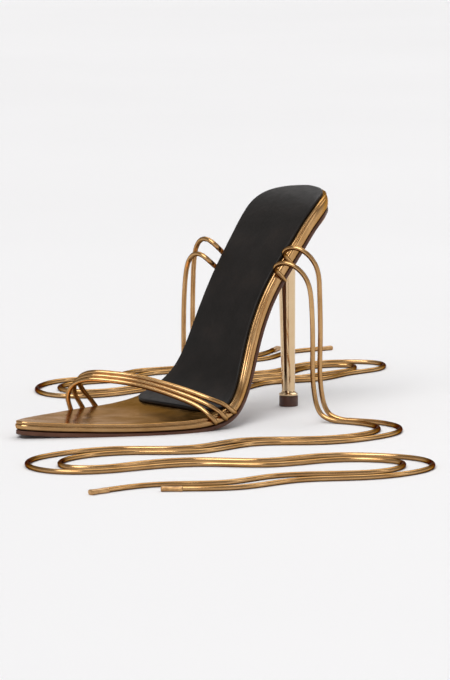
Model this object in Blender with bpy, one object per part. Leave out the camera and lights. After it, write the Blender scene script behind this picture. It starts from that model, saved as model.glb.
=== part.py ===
"""Lace up stiletto sandal for the left foot, as separate pieces at real size.

Metres, +Z up. The toe points to -X and the outer side of the foot to -Y.
The shoe stands on its forefoot and on the tip of its heel. Sizes are measured
from the middle of the heel tip; at the end the shoe is set over the origin.
"""

import math

import bmesh
import bpy
import numpy as np
from mathutils import Vector

MM = 0.001
GAP = 0.3 * MM

# Sole, measured along the floor and up from it
SOLE_LENGTH = 208.0 * MM
SEAT_RISE = 115.0 * MM
BALL_WIDTH = 77.0 * MM
HEEL_SETBACK = 20.0 * MM
TOE_ROUND = 3.0 * MM
SEAT_ROUND = 27.0 * MM

# Layers of the sole
BOARD_THICKNESS = 7.4 * MM
BOARD_EDGE_RADIUS = 1.5 * MM
OUTSOLE_THICKNESS = 2.3 * MM
OUTSOLE_INSET = 0.5 * MM
OUTSOLE_CHAMFER = 0.5 * MM
SOCK_THICKNESS = 1.3 * MM
SOCK_MARGIN = 1.9 * MM
SOCK_FRONT = 0.46
SOCK_FRONT_ROUND = 15.0 * MM
SOCK_EDGE_BEVEL = 0.5 * MM

# Heel
CUP_FRONT = 0.8165
CUP_BACK = 0.990
CUP_DEPTH = 18.0 * MM
CUP_INSET = 1.6 * MM
CUP_RIM = 0.8 * MM
CUP_HOLLOW = 1.2
STEM_TOP_DIAMETER = 9.8 * MM
STEM_TIP_DIAMETER = 7.3 * MM
STEM_LEAN = 1.8 * MM
STEM_REACH = 3.0 * MM
STEM_ROOT_FLARE = 0.9 * MM
COLLAR_HEIGHT = 1.0 * MM
COLLAR_FLARE = 2.0 * MM
COLLAR_CHAMFER = 0.15 * MM
TOP_LIFT_DIAMETER = 10.6 * MM
TOP_LIFT_HEIGHT = 5.8 * MM
TOP_LIFT_CHAMFER = 0.3 * MM

# Toe strap
STRAP_CORD_DIAMETER = 2.7 * MM
STRAP_RISE = 26.0 * MM
STRAP_FAN = 8.6 * MM
STRAP_SIDES = 10
STRAP_STEPS = 34

# Ties and their end tabs
TIE_DIAMETER = 2.7 * MM
TIE_POINTS = 78
TIE_BEND_WEIGHT = 18.0 * MM
TAB_LENGTH = 11.0 * MM
TAB_WIDTH = 4.2 * MM
TAB_CHAMFER = 0.5 * MM
TAB_SIDES = 12

# Stations of the sole's outline, how square its ends are, and the share of the full
# width that is left at the very tip of the toe, the seat and the sock's front
FRONT_STATIONS = 4
SIDE_STATIONS = 40
SEAT_STATIONS = 9
END_POWER = 2.1
TOE_LEAST = 0.45
SEAT_LEAST = 0.02
SOCK_FRONT_LEAST = 0.5

# Faces of the heel: sides of a turned piece, points across the cup and rows along it,
# and the share of those rows' spacing that is closer together at the cup's ends
TURNED_SIDES = 24
CUP_POINTS = 15
CUP_STEPS = 14
CUP_END_EASE = 0.6

# How closely the sole's curve is read: the step for its slope, the run past the seat
# that a search may reach, and how often a search halves its range
SLOPE_STEP = 0.2 * MM
SEARCH_PAST_SEAT = 5.0 * MM
SEARCH_HALVINGS = 40

# Places along a tie that its bends are measured at
TIE_FINE_PLACES = 1200

# One row per section, toe to heel: share of SOLE_LENGTH from the toe tip, share of
# SEAT_RISE, inner and outer edge as shares of BALL_WIDTH from the heel's midline,
# share of BOARD_THICKNESS.
SECTIONS = (
    (0.000, 0.0430, 0.200, -0.115, 0.65),
    (0.050, 0.0330, 0.305, -0.030, 0.65),
    (0.125, 0.0245, 0.400, 0.105, 0.65),
    (0.230, 0.0170, 0.487, 0.285, 0.65),
    (0.340, 0.0160, 0.514, 0.436, 0.67),
    (0.440, 0.0220, 0.478, 0.509, 0.74),
    (0.530, 0.0625, 0.395, 0.507, 0.87),
    (0.605, 0.1700, 0.316, 0.430, 0.96),
    (0.665, 0.3790, 0.262, 0.370, 1.00),
    (0.730, 0.6130, 0.246, 0.372, 1.00),
    (0.820, 0.8090, 0.286, 0.380, 1.00),
    (0.925, 0.9635, 0.338, 0.345, 1.00),
    (1.000, 1.0000, 0.340, 0.335, 1.00),
)

# Heel cup: share of its length from front to back, share of CUP_DEPTH, share of
# the seat's width.
CUP_SECTIONS = (
    (0.00, 0.12, 0.60),
    (0.12, 0.48, 0.80),
    (0.31, 0.76, 0.94),
    (0.45, 0.91, 0.98),
    (0.59, 1.00, 1.00),
    (0.70, 0.96, 1.00),
    (0.80, 0.80, 0.97),
    (0.88, 0.59, 0.93),
    (0.94, 0.38, 0.86),
    (1.00, 0.08, 0.72),
)

# Middle cord of the toe strap, outer side to inner side: share of SOLE_LENGTH from
# the toe tip, share of the way from the outer edge (-1) to the inner edge (1), share
# of STRAP_RISE over the board's top or, below zero, of the board's thickness under
# its top, distance between cords as a share of STRAP_FAN, slope in degrees of the
# row of cords, share of the cord's diameter.
STRAP_ROWS = (
    (0.496, -0.986, -0.92, 0.92, 4.0, 0.34),
    (0.494, -0.996, -0.80, 0.91, 4.0, 0.66),
    (0.489, -1.000, -0.55, 0.86, 6.0, 1.00),
    (0.476, -0.995, 0.02, 0.72, 14.0, 1.00),
    (0.453, -0.880, 0.23, 0.48, 30.0, 1.00),
    (0.425, -0.590, 0.44, 0.34, 44.0, 1.00),
    (0.395, -0.240, 0.60, 0.29, 48.0, 1.00),
    (0.366, 0.100, 0.70, 0.29, 48.0, 1.00),
    (0.329, 0.420, 0.75, 0.29, 46.0, 1.00),
    (0.302, 0.680, 0.73, 0.32, 42.0, 1.00),
    (0.297, 0.890, 0.57, 0.44, 32.0, 1.00),
    (0.312, 0.990, 0.30, 0.68, 18.0, 1.00),
    (0.336, 1.000, 0.02, 0.95, 6.0, 1.00),
    (0.346, 1.000, -0.55, 1.08, 2.0, 1.00),
    (0.350, 0.996, -0.80, 1.12, 0.0, 0.66),
    (0.351, 0.986, -0.92, 1.13, 0.0, 0.34),
)

# Routes of the ties in millimetres, from the middle of the finished shoe's base: each
# starts beside the sole's lower edge, runs up the side of the arch, bends over outward,
# hangs and lies on the floor. Its first points are thinner, as shares of the diameter.
TIE_START_GIRTHS = (0.60, 0.74, 1.0)
TIE_ROUTES = {
    "outer_rear": (
        (58.8, -30.35, 83.0), (56.9, -30.55, 84.7), (54.6, -31.0, 86.7), (51.6, -31.15, 89.3),
        (49.0, -32.6, 91.9), (48.6, -36.4, 94.6), (50.6, -41.6, 95.0), (54.0, -46.4, 91.6),
        (57.0, -49.8, 85.0), (58.2, -51.2, 72.0), (58.5, -51.6, 45.0), (59.0, -52.6, 14.0),
        (60.6, -56.6, 4.4), (64.5, -65.0, 1.35), (70.0, -77.0, 1.35), (72.0, -92.0, 1.35),
        (66.0, -106.0, 1.35), (52.0, -116.0, 1.35), (34.0, -119.0, 1.35), (2.0, -112.0, 1.35),
        (-28.0, -91.0, 1.35), (-65.0, -90.0, 1.35), (-95.0, -68.0, 1.35), (-122.0, -60.0, 1.35),
        (-142.0, -67.0, 1.35), (-149.0, -80.0, 1.35), (-139.0, -92.0, 1.35),
        (-116.0, -97.0, 1.35), (-85.0, -109.0, 1.35), (-61.0, -134.0, 1.35),
        (-28.0, -143.0, 1.35), (-6.0, -164.0, 1.35), (1.0, -186.0, 1.35), (-10.0, -205.0, 1.35),
        (-34.0, -212.0, 1.35), (-60.0, -206.0, 1.35), (-90.0, -189.0, 1.35),
        (-124.0, -185.0, 1.35), (-150.0, -168.0, 1.35),
    ),
    "outer_front": (
        (52.9, -30.05, 75.9), (50.9, -30.2, 77.4), (48.5, -30.65, 79.2), (45.4, -30.8, 81.6),
        (42.8, -32.2, 84.0), (42.3, -35.8, 86.6), (44.2, -41.2, 87.0), (47.6, -46.2, 83.7),
        (50.6, -49.6, 77.2), (51.9, -51.4, 65.0), (52.3, -52.0, 42.0), (52.9, -53.2, 14.0),
        (54.4, -57.2, 4.4), (58.0, -65.5, 1.35), (62.0, -78.0, 1.35), (61.0, -92.0, 1.35),
        (53.0, -102.0, 1.35), (38.0, -107.0, 1.35), (6.0, -99.0, 1.35), (-25.0, -78.0, 1.35),
        (-62.0, -77.0, 1.35), (-92.0, -54.0, 1.35), (-124.0, -46.0, 1.35), (-148.0, -51.0, 1.35),
        (-162.0, -66.0, 1.35), (-163.0, -85.0, 1.35), (-149.0, -100.0, 1.35),
        (-122.0, -108.0, 1.35), (-92.0, -121.0, 1.35), (-68.0, -146.0, 1.35),
        (-36.0, -156.0, 1.35), (-18.0, -171.0, 1.35), (-14.0, -186.0, 1.35), (-26.0, -197.0, 1.35),
        (-46.0, -197.0, 1.35), (-67.0, -184.0, 1.35), (-90.0, -172.0, 1.35),
        (-122.0, -169.0, 1.35), (-150.0, -151.0, 1.35), (-180.0, -146.0, 1.35),
    ),
    "inner_rear": (
        (58.8, 21.55, 83.0), (56.9, 21.8, 84.7), (54.6, 22.25, 86.7), (51.6, 22.4, 89.3),
        (49.2, 23.6, 91.9), (47.9, 27.0, 94.2), (47.4, 32.0, 94.4), (47.6, 36.6, 90.6),
        (47.9, 39.2, 83.5), (48.0, 40.4, 70.0), (48.1, 40.9, 44.0), (48.6, 42.2, 14.0),
        (50.8, 46.8, 4.4), (56.5, 54.5, 1.35), (70.0, 61.0, 1.35), (98.0, 58.0, 1.35),
        (130.0, 66.0, 1.35), (162.0, 57.0, 1.35), (194.0, 62.0, 1.35), (220.0, 64.0, 1.35),
        (235.0, 80.0, 1.35), (225.0, 98.0, 1.35), (194.0, 106.0, 1.35), (160.0, 98.0, 1.35),
        (130.0, 105.0, 1.35), (100.0, 97.0, 1.35), (68.0, 105.0, 1.35), (41.0, 106.0, 1.35),
        (25.0, 117.0, 1.35), (28.0, 133.0, 1.35), (48.0, 140.0, 1.35), (76.0, 134.0, 1.35),
        (106.0, 141.0, 1.35), (136.0, 134.0, 1.35), (166.0, 145.0, 1.35), (198.0, 141.0, 1.35),
        (226.0, 151.0, 1.35), (252.0, 150.0, 1.35),
    ),
    "inner_front": (
        (52.9, 20.65, 75.9), (50.9, 20.9, 77.4), (48.5, 21.3, 79.2), (45.4, 21.5, 81.6),
        (42.9, 22.7, 84.1), (41.5, 26.0, 86.4), (40.9, 31.0, 86.6), (40.9, 35.8, 82.9),
        (41.1, 38.6, 76.0), (41.2, 40.2, 64.0), (41.3, 41.0, 42.0), (41.6, 42.8, 14.0),
        (43.2, 47.8, 4.4), (47.5, 57.0, 1.35), (60.0, 68.0, 1.35), (82.0, 71.0, 1.35),
        (102.0, 70.0, 1.35), (130.0, 78.0, 1.35), (160.0, 70.0, 1.35), (184.0, 70.0, 1.35),
        (204.0, 72.0, 1.35), (215.0, 83.0, 1.35), (204.0, 94.0, 1.35), (184.0, 94.0, 1.35),
        (160.0, 86.0, 1.35), (130.0, 93.0, 1.35), (100.0, 85.0, 1.35), (70.0, 93.0, 1.35),
        (40.0, 93.0, 1.35), (17.0, 99.0, 1.35), (7.0, 113.0, 1.35), (11.0, 132.0, 1.35),
        (27.0, 148.0, 1.35), (51.0, 154.0, 1.35), (78.0, 147.0, 1.35), (108.0, 154.0, 1.35),
        (138.0, 147.0, 1.35), (168.0, 159.0, 1.35), (200.0, 155.0, 1.35), (228.0, 165.0, 1.35),
    ),
}


def natural_spline(knots, values):
    """Smooth curve through values at knots, with no bend at its ends."""
    knots = np.asarray(knots, float)
    values = np.asarray(values, float)
    step = np.diff(knots)
    count = len(knots)
    matrix = np.eye(count)
    right = np.zeros(values.shape)
    for i in range(1, count - 1):
        matrix[i, i - 1] = step[i - 1]
        matrix[i, i] = 2.0 * (step[i - 1] + step[i])
        matrix[i, i + 1] = step[i]
        rise_after = (values[i + 1] - values[i]) / step[i]
        rise_before = (values[i] - values[i - 1]) / step[i - 1]
        right[i] = 6.0 * (rise_after - rise_before)
    bend = np.linalg.solve(matrix, right)

    def at(place):
        i = int(np.clip(np.searchsorted(knots, place) - 1, 0, count - 2))
        a = knots[i + 1] - place
        b = place - knots[i]
        h = step[i]
        curve = (bend[i] * a ** 3 + bend[i + 1] * b ** 3) / (6.0 * h)
        line_a = (values[i] / h - bend[i] * h / 6.0) * a
        line_b = (values[i + 1] / h - bend[i + 1] * h / 6.0) * b
        return curve + line_a + line_b

    return at


def chord_knots(points):
    """Distance along a line of points, from its start."""
    steps = np.linalg.norm(np.diff(np.asarray(points), axis=0), axis=1)
    return np.concatenate(([0.0], np.cumsum(steps)))


def section_values():
    """The section table in metres: x, z, inner edge, outer edge, board thickness."""
    scale = np.array((SOLE_LENGTH, SEAT_RISE, BALL_WIDTH, BALL_WIDTH, BOARD_THICKNESS))
    rows = np.array(SECTIONS) * scale
    rows[:, 0] += HEEL_SETBACK - SOLE_LENGTH
    rows[:, 3] *= -1.0
    return rows


SECTION_ROWS = section_values()
RUN_KNOTS = chord_knots(SECTION_ROWS[:, :2])
RUN_END = RUN_KNOTS[-1]
section_at = natural_spline(RUN_KNOTS, SECTION_ROWS)


def x_at_share(share):
    """x at a share of the sole's length from the toe tip."""
    return HEEL_SETBACK - SOLE_LENGTH * (1.0 - share)


def run_at_x(x):
    """Run along the sole at which the board's underside is at x."""
    low = 0.0
    high = RUN_END
    for _ in range(SEARCH_HALVINGS):
        middle = 0.5 * (low + high)
        if section_at(middle)[0] < x:
            low = middle
        else:
            high = middle
    return 0.5 * (low + high)


def on_sole(run, across, lift):
    """Point at a run along the sole, a way across it and a lift over the board's underside."""
    here = section_at(run)
    ahead = section_at(run + SLOPE_STEP)
    behind = section_at(run - SLOPE_STEP)
    dx = ahead[0] - behind[0]
    dz = ahead[1] - behind[1]
    size = math.hypot(dx, dz)
    return Vector((here[0] - dz / size * lift, across, here[1] + dx / size * lift))


def board_at(run):
    """Thickness of the board at a run."""
    return section_at(run)[4]


def blunt_end(distance, length, least):
    """Share of the full width at a distance from a rounded end."""
    if distance >= length:
        return 1.0
    rest = 1.0 - max(distance, 0.0) / length
    return least + (1.0 - least) * (1.0 - rest ** END_POWER) ** (1.0 / END_POWER)


def edges_at(run, front_run=0.0, front_round=TOE_ROUND, front_least=TOE_LEAST):
    """Outer and inner edge of the plan at a run, with both ends rounded."""
    row = section_at(min(max(run, 0.0), RUN_END))
    middle = 0.5 * (row[2] + row[3])
    half = 0.5 * (row[2] - row[3])
    half *= blunt_end(run - front_run, front_round, front_least)
    half *= blunt_end(RUN_END - run, SEAT_ROUND, SEAT_LEAST)
    return middle - half, middle + half


def plan_loop(front_run=0.0, front_round=TOE_ROUND, front_least=TOE_LEAST):
    """Plan outline as (run, across) points: outer side to the back, inner side to the front."""
    turn_front = np.linspace(0.0, 0.5 * np.pi, FRONT_STATIONS + 1)
    turn_back = np.linspace(0.5 * np.pi, 0.0, SEAT_STATIONS + 1)
    front = front_run + front_round * (1.0 - np.cos(turn_front))
    back = RUN_END - SEAT_ROUND * (1.0 - np.cos(turn_back))
    middle = np.linspace(front[-1], back[0], SIDE_STATIONS + 1)
    outer = []
    inner = []
    for run in np.concatenate((front, middle[1:-1], back)):
        low, high = edges_at(run, front_run, front_round, front_least)
        outer.append((run, low))
        inner.append((run, high))
    return np.array(outer + inner[::-1])


def inset_loop(loop, distance):
    """The outline moved inward by a distance."""
    before = loop - np.roll(loop, 1, axis=0)
    after = np.roll(loop, -1, axis=0) - loop
    before /= np.linalg.norm(before, axis=1)[:, None]
    after /= np.linalg.norm(after, axis=1)[:, None]
    normal_before = np.column_stack((-before[:, 1], before[:, 0]))
    normal_after = np.column_stack((-after[:, 1], after[:, 0]))
    turn = 1.0 + np.sum(normal_before * normal_after, axis=1)
    return loop + distance * (normal_before + normal_after) / turn[:, None]


def layer(name, loop, levels, floor=None):
    """Closed layer of the sole. Each level is an inset and a function of the run for the lift."""
    count = len(loop)
    verts = []
    for inset, lift in levels:
        for run, across in inset_loop(loop, inset):
            point = on_sole(run, across, lift(run))
            if floor is not None:
                point.z = max(point.z, floor)
            verts.append(point)
    faces = []
    for level in range(len(levels) - 1):
        base = level * count
        for i in range(count):
            j = (i + 1) % count
            faces.append((base + i, base + j, base + count + j, base + count + i))
    top = (len(levels) - 1) * count
    for i in range(count // 2 - 1):
        k = count - 1 - i
        faces.append((i, k, k - 1, i + 1))
        faces.append((top + i, top + i + 1, top + k - 1, top + k))
    return new_object(name, verts, faces)


def new_object(name, verts, faces, smooth_angle=35.0):
    """Mesh object with outward faces, shaded smooth but for its real edges."""
    mesh = bpy.data.meshes.new(name)
    mesh.from_pydata([tuple(v) for v in verts], [], faces)
    work = bmesh.new()
    work.from_mesh(mesh)
    bmesh.ops.recalc_face_normals(work, faces=work.faces)
    bmesh.ops.triangulate(work, faces=[f for f in work.faces if len(f.verts) > 3])
    work.to_mesh(mesh)
    work.free()
    mesh.shade_smooth()
    mesh.set_sharp_from_angle(angle=math.radians(smooth_angle))
    piece = bpy.data.objects.new(name, mesh)
    bpy.context.scene.collection.objects.link(piece)
    return piece


def finish(name, colour, roughness, metallic):
    """Principled material with a plain colour."""
    material = bpy.data.materials.new(name)
    material.use_nodes = True
    shader = material.node_tree.nodes["Principled BSDF"]
    shader.inputs["Base Color"].default_value = (*colour, 1.0)
    shader.inputs["Roughness"].default_value = roughness
    shader.inputs["Metallic"].default_value = metallic
    return material


def clear_scene():
    """Remove whatever the scene holds."""
    for piece in list(bpy.data.objects):
        bpy.data.objects.remove(piece, do_unlink=True)


def make_board(material):
    """Insole board wrapped in gold: flat sides with a soft edge above and below."""
    radius = BOARD_EDGE_RADIUS
    corner = radius * (1.0 - math.sqrt(0.5))
    levels = (
        (radius, lambda run: 0.0),
        (corner, lambda run: corner),
        (0.0, lambda run: radius),
        (0.0, lambda run: board_at(run) - radius),
        (corner, lambda run: board_at(run) - corner),
        (radius, lambda run: board_at(run)),
    )
    piece = layer("insole_board", plan_loop(), levels)
    piece.data.materials.append(material)
    return piece


def make_outsole(material):
    """Thin outsole under the board, worn flat where it meets the floor."""
    top = -GAP
    bottom = top - OUTSOLE_THICKNESS
    levels = (
        (OUTSOLE_INSET + OUTSOLE_CHAMFER, lambda run: bottom),
        (OUTSOLE_INSET, lambda run: bottom + OUTSOLE_CHAMFER),
        (OUTSOLE_INSET, lambda run: top),
    )
    piece = layer("outsole", plan_loop(), levels, floor=0.0)
    piece.data.materials.append(material)
    return piece


def make_sock(material):
    """Padded sock on the board, from the back of the seat to the ball of the foot."""
    front = run_at_x(x_at_share(SOCK_FRONT))
    loop = plan_loop(front, SOCK_FRONT_ROUND, SOCK_FRONT_LEAST)
    top = GAP + SOCK_THICKNESS
    levels = (
        (SOCK_MARGIN, lambda run: board_at(run) + GAP),
        (SOCK_MARGIN, lambda run: board_at(run) + top - SOCK_EDGE_BEVEL),
        (SOCK_MARGIN + SOCK_EDGE_BEVEL, lambda run: board_at(run) + top),
    )
    piece = layer("heel_sock", loop, levels)
    piece.data.materials.append(material)
    return piece


def turned(name, profile, lean=0.0, lean_height=1.0):
    """Turned solid from (height, radius) rows, bottom to top, leaning toward the toe."""
    sides = TURNED_SIDES
    verts = []
    for height, radius in profile:
        shift = -lean * height / lean_height
        for i in range(sides):
            angle = 2.0 * math.pi * i / sides
            verts.append((shift + radius * math.cos(angle), radius * math.sin(angle), height))
    faces = [tuple(range(sides)), tuple(range((len(profile) - 1) * sides, len(profile) * sides))]
    for row in range(len(profile) - 1):
        for i in range(sides):
            j = (i + 1) % sides
            base = row * sides
            faces.append((base + i, base + j, base + sides + j, base + sides + i))
    return new_object(name, verts, faces)


def under_sole(x):
    """Height of the outsole's underside over x, and the run it belongs to."""
    depth = -(GAP + OUTSOLE_THICKNESS)
    low = 0.0
    high = RUN_END + SEARCH_PAST_SEAT
    for _ in range(SEARCH_HALVINGS):
        middle = 0.5 * (low + high)
        if on_sole(middle, 0.0, depth).x < x:
            low = middle
        else:
            high = middle
    run = 0.5 * (low + high)
    return on_sole(run, 0.0, depth).z, run


def cup_values():
    """The cup's table in metres: x, drop, width share."""
    rows = np.array(CUP_SECTIONS)
    front = x_at_share(CUP_FRONT)
    back = x_at_share(CUP_BACK)
    rows[:, 0] = front + (back - front) * rows[:, 0]
    rows[:, 1] *= CUP_DEPTH
    return rows


def make_cup():
    """Cup of the heel: closes on the underside of the seat and hollows down to the stem."""
    rows = cup_values()
    row_at = natural_spline(rows[:, 0], rows)
    verts = []
    for step in range(CUP_STEPS + 1):
        even = step / CUP_STEPS
        eased = 0.5 - 0.5 * math.cos(math.pi * even)
        place = (1.0 - CUP_END_EASE) * even + CUP_END_EASE * eased
        x = rows[0, 0] + (rows[-1, 0] - rows[0, 0]) * place
        _, drop, width = row_at(x)
        top, run = under_sole(x)
        low, high = edges_at(run)
        middle = 0.5 * (low + high)
        half = (0.5 * (high - low) - CUP_INSET) * width
        for edge in (-1.0, 1.0):
            verts.append((x, middle + edge * half, top - GAP))
        for i in range(CUP_POINTS):
            side = math.cos(math.pi * i / (CUP_POINTS - 1))
            depth = 0.5 + 0.5 * math.cos(math.pi * abs(side) ** CUP_HOLLOW)
            down = CUP_RIM + (drop - CUP_RIM) * depth
            verts.append((x, middle + half * side, top - GAP - down))
    row = CUP_POINTS + 2
    faces = []
    for step in range(CUP_STEPS):
        base = step * row
        for i in range(row):
            j = (i + 1) % row
            faces.append((base + i, base + j, base + row + j, base + row + i))
    faces.append(tuple(range(row)))
    faces.append(tuple(range(CUP_STEPS * row, (CUP_STEPS + 1) * row)))
    return new_object("heel", verts, faces)


def make_heel(material):
    """Plated heel: cup, tapered stem and flared collar moulded as one piece."""
    stem_x = -STEM_LEAN
    seat_z, _ = under_sole(stem_x)
    drop = cup_values()
    drop_at = natural_spline(drop[:, 0], drop[:, 1])
    join = seat_z - GAP - drop_at(stem_x)
    foot = TOP_LIFT_HEIGHT + GAP
    tip = STEM_TIP_DIAMETER / 2.0
    top = STEM_TOP_DIAMETER / 2.0
    collar = TOP_LIFT_DIAMETER / 2.0
    profile = [
        (foot, collar - COLLAR_CHAMFER),
        (foot + COLLAR_CHAMFER, collar),
        (foot + COLLAR_HEIGHT, collar),
    ]
    for share in (0.25, 0.55, 1.0):
        flare = (1.0 - share) ** 2
        height = foot + COLLAR_HEIGHT + COLLAR_FLARE * share
        profile.append((height, tip + (collar - tip) * flare))
    for share in (0.35, 0.7, 0.97):
        height = foot + (join - foot) * share
        profile.append((height, tip + (top - tip) * share))
    profile.append((join + STEM_REACH, top + STEM_ROOT_FLARE))
    stem = turned("stem", profile, STEM_LEAN, join)
    heel = make_cup()
    union = heel.modifiers.new("stem", "BOOLEAN")
    union.operation = "UNION"
    union.object = stem
    stem.hide_render = True
    stem.display_type = "WIRE"
    heel.data.materials.append(material)
    return heel


def make_top_lift(material):
    """Hard wearing tip under the collar."""
    radius = TOP_LIFT_DIAMETER / 2.0
    profile = (
        (0.0, radius - TOP_LIFT_CHAMFER),
        (TOP_LIFT_CHAMFER, radius),
        (TOP_LIFT_HEIGHT, radius),
    )
    piece = turned("top_lift", profile)
    piece.data.materials.append(material)
    return piece


def strap_point(row, place):
    """Centre, row direction and radius of one strap cord for a row of the strap's table."""
    along, side, rise, fan, slope, girth = row
    slope = math.radians(slope)
    shift = place * fan * STRAP_FAN
    run = run_at_x(x_at_share(along) + shift * math.cos(slope))
    radius = girth * STRAP_CORD_DIAMETER / 2.0
    low, high = edges_at(run)
    low -= GAP + radius
    high += GAP + radius
    across = low + (high - low) * (side + 1.0) / 2.0
    board = board_at(run)
    if rise < 0.0:
        lift = board * (1.0 + rise)
    else:
        lift = board + rise * STRAP_RISE + shift * math.sin(slope)
    row_direction = Vector((math.cos(slope), 0.0, math.sin(slope)))
    return on_sole(run, across, lift), row_direction, radius


def tube(name, centres, radii, reference, sides):
    """Tube through centres, its first side turned to the reference direction."""
    count = len(centres)
    verts = []
    for n in range(count):
        ahead = centres[min(n + 1, count - 1)]
        behind = centres[max(n - 1, 0)]
        along = (ahead - behind).normalized()
        first = reference[n] - along * reference[n].dot(along)
        first.normalize()
        second = along.cross(first)
        for i in range(sides):
            angle = 2.0 * math.pi * i / sides
            verts.append(centres[n] + (first * math.cos(angle) + second * math.sin(angle)) * radii[n])
    faces = [tuple(range(sides)), tuple(range((count - 1) * sides, count * sides))]
    for n in range(count - 1):
        for i in range(sides):
            j = (i + 1) % sides
            base = n * sides
            faces.append((base + i, base + j, base + sides + j, base + sides + i))
    return new_object(name, verts, faces)


def make_toe_strap(material):
    """Three round cords side by side over the toes, fanned at both ends, joined as one."""
    cords = []
    for place in (0, -1, 1):
        rows = [strap_point(row, place) for row in STRAP_ROWS]
        values = np.array([(*centre, *row, radius) for centre, row, radius in rows])
        knots = chord_knots(values[:, :3])
        value_at = natural_spline(knots, values)
        steps = [value_at(knots[-1] * n / STRAP_STEPS) for n in range(STRAP_STEPS + 1)]
        centres = [Vector(v[:3]) for v in steps]
        reference = [Vector(v[3:6]) for v in steps]
        radii = [v[6] for v in steps]
        name = "toe_strap" if place == 0 else "strap_side"
        cords.append(tube(name, centres, radii, reference, STRAP_SIDES))
    strap = cords[0]
    for side in cords[1:]:
        union = strap.modifiers.new("side_cord", "BOOLEAN")
        union.operation = "UNION"
        union.object = side
        side.hide_render = True
        side.display_type = "WIRE"
    strap.data.materials.append(material)
    return strap


def tie_curve(name):
    """Smooth curve through a tie's route: its knots and a function of the knot."""
    points = np.array(TIE_ROUTES[name]) * MM
    knots = chord_knots(points)
    free = natural_spline(knots, points)

    def on_floor(place):
        x, y, z = free(place)
        return np.array((x, y, max(z, TIE_DIAMETER / 2.0)))

    return knots, on_floor


def tie_places(knots, point_at):
    """Knots for the tie's points: closer together where it bends."""
    fine = np.linspace(0.0, knots[-1], TIE_FINE_PLACES)
    line = np.array([point_at(place) for place in fine])
    step = np.diff(line, axis=0)
    size = np.linalg.norm(step, axis=1)
    heading = step / size[:, None]
    turn = np.linalg.norm(np.diff(heading, axis=0), axis=1)
    weight = size + TIE_BEND_WEIGHT * np.concatenate((turn, [0.0]))
    total = np.concatenate(([0.0], np.cumsum(weight)))
    return np.interp(np.linspace(0.0, total[-1], TIE_POINTS), total, fine)


def make_tie(name, material):
    """One tie: a round cord that starts thin in the sole's lower edge."""
    knots, point_at = tie_curve(name)
    places = tie_places(knots, point_at)
    curve = bpy.data.curves.new("tie_" + name, "CURVE")
    curve.dimensions = "3D"
    curve.resolution_u = 1
    curve.bevel_depth = TIE_DIAMETER / 2.0
    curve.bevel_resolution = 2
    curve.use_fill_caps = True
    spline = curve.splines.new("POLY")
    spline.points.add(TIE_POINTS - 1)
    thin_knots = knots[:len(TIE_START_GIRTHS)]
    for point, place in zip(spline.points, places):
        point.co = (*point_at(place), 1.0)
        point.radius = np.interp(place, thin_knots, TIE_START_GIRTHS)
    curve.materials.append(material)
    tie = bpy.data.objects.new("tie_" + name, curve)
    bpy.context.scene.collection.objects.link(tie)
    return tie


def make_tab(name, material):
    """Flat end tab lying on the floor past the end of a tie."""
    knots, point_at = tie_curve(name)
    end = Vector(point_at(knots[-1]))
    ahead = (end - Vector(point_at(knots[-1] - MM))).normalized()
    across = Vector((-ahead.y, ahead.x, 0.0))
    up = Vector((0.0, 0.0, 1.0))
    start = end + ahead * GAP
    inset = TAB_CHAMFER
    rows = ((0.0, inset), (inset, 0.0), (TAB_LENGTH - inset, 0.0), (TAB_LENGTH, inset))
    verts = []
    for distance, trim in rows:
        for i in range(TAB_SIDES):
            angle = 2.0 * math.pi * i / TAB_SIDES
            wide = across * (math.cos(angle) * (TAB_WIDTH / 2.0 - trim))
            tall = up * (math.sin(angle) * (TIE_DIAMETER / 2.0 - trim))
            verts.append(start + ahead * distance + wide + tall)
    faces = [tuple(range(TAB_SIDES)), tuple(range(3 * TAB_SIDES, 4 * TAB_SIDES))]
    for row in range(3):
        for i in range(TAB_SIDES):
            j = (i + 1) % TAB_SIDES
            base = row * TAB_SIDES
            faces.append((base + i, base + j, base + TAB_SIDES + j, base + TAB_SIDES + i))
    tab = new_object("tab_" + name, verts, faces)
    tab.data.materials.append(material)
    return tab


def centre_over_origin(pieces):
    """Set the shoe over the origin: the middle of its box, at the floor."""
    corners = []
    graph = bpy.context.evaluated_depsgraph_get()
    for piece in pieces:
        corners.extend(Vector(c) for c in piece.evaluated_get(graph).bound_box)
    low = Vector([min(c[i] for c in corners) for i in range(3)])
    high = Vector([max(c[i] for c in corners) for i in range(3)])
    middle = (low + high) / 2.0
    return Vector((-middle.x, -middle.y, 0.0))


def build():
    """Build every piece."""
    clear_scene()
    gold = finish("insole_gold", (0.72, 0.50, 0.24), 0.25, 1.0)
    strap = finish("strap_gold", (0.74, 0.52, 0.26), 0.22, 1.0)
    plate = finish("gold_plate", (0.80, 0.58, 0.30), 0.12, 1.0)
    edge = finish("outsole_brown", (0.20, 0.10, 0.06), 0.5, 0.0)
    sock = finish("sock_black", (0.012, 0.010, 0.009), 0.5, 0.0)
    rubber = finish("lift_brown", (0.06, 0.03, 0.02), 0.5, 0.0)
    cord = finish("tie_gold", (0.74, 0.52, 0.26), 0.22, 1.0)
    end = finish("tab_gold", (0.55, 0.33, 0.14), 0.3, 1.0)
    shoe = [make_outsole(edge), make_board(gold), make_sock(sock), make_heel(plate)]
    shoe += [make_top_lift(rubber), make_toe_strap(strap)]
    shift = centre_over_origin(shoe)
    for piece in list(bpy.data.objects):
        piece.location = shift
    for name in TIE_ROUTES:
        make_tie(name, cord)
        make_tab(name, end)
    return shift


FRAME_SHIFT = build()
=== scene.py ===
"""Lace up heeled sandal for the left foot, dressed as it stands empty on a studio floor.

Metres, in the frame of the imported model: +Z up, the toe to -X, the outer side to -Y, the
middle of the shoe over the origin. The file follows the shoe as it is put together.
"""

import math

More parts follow.
